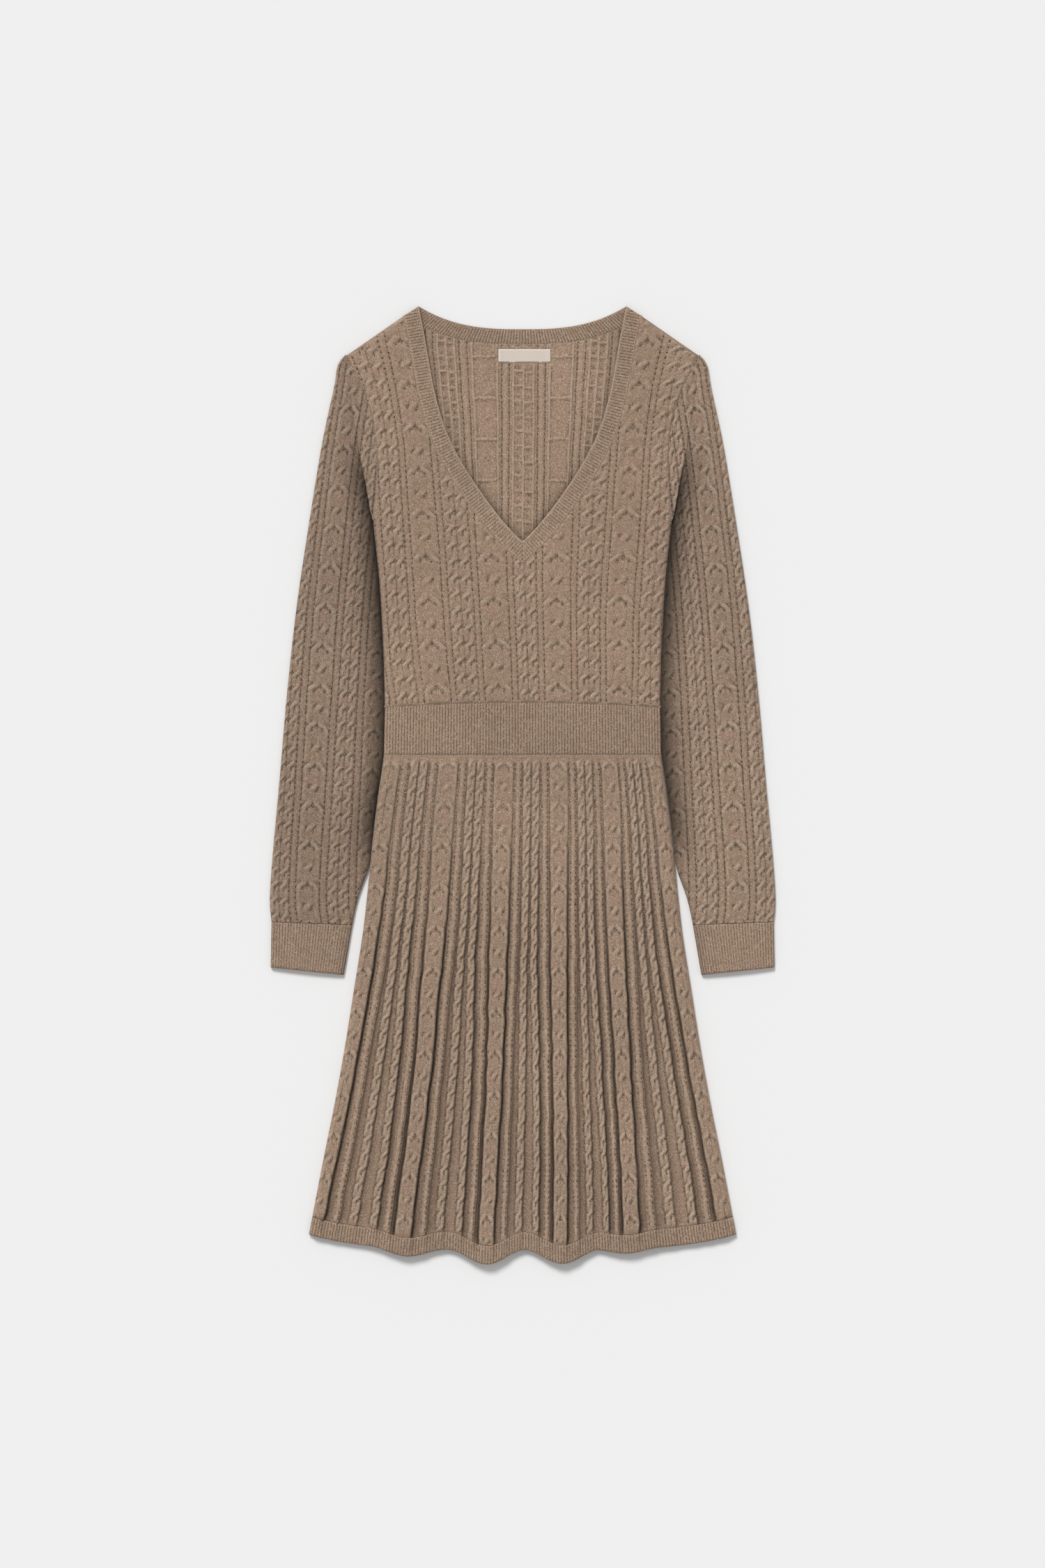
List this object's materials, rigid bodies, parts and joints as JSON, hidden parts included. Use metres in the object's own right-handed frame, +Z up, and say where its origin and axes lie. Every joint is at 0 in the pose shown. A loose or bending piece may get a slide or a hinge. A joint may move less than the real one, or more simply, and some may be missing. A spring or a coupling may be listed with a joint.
{
  "type": "sweater dress",
  "caption": "Long-sleeved cable-knit sweater dress with a ribbed V neck, waistband, cuffs and hem and a pleated flared skirt, laid flat on its back.",
  "frame": {"origin": "centre of the box that the laid garment fills, on the surface it lies on", "axes": "+Y along the garment towards the neck, +Z up from the surface to the front of the dress, +X to the viewer's right"},
  "size_m": [0.4952, 0.938, 0.0138],
  "materials": {
    "knit": "heathered taupe cable knit, matt and slightly fuzzy",
    "rib": "heathered taupe 1x1 rib knit, matt",
    "label": "woven cream label, bare"
  },
  "bodies": {
    "root": {"bodice_back": "knit", "bodice_front": "knit", "sleeve_left": "knit", "sleeve_right": "knit", "skirt_back": "knit", "skirt_front": "knit", "cuff_left": "rib", "cuff_right": "rib", "hem_rib_back": "rib", "hem_rib_front": "rib", "neckband_back": "rib", "neckband_front_left": "rib", "neckband_front_right": "rib", "waistband_back": "rib", "waistband_front": "rib", "label": "label"}
  },
  "joints": []
}
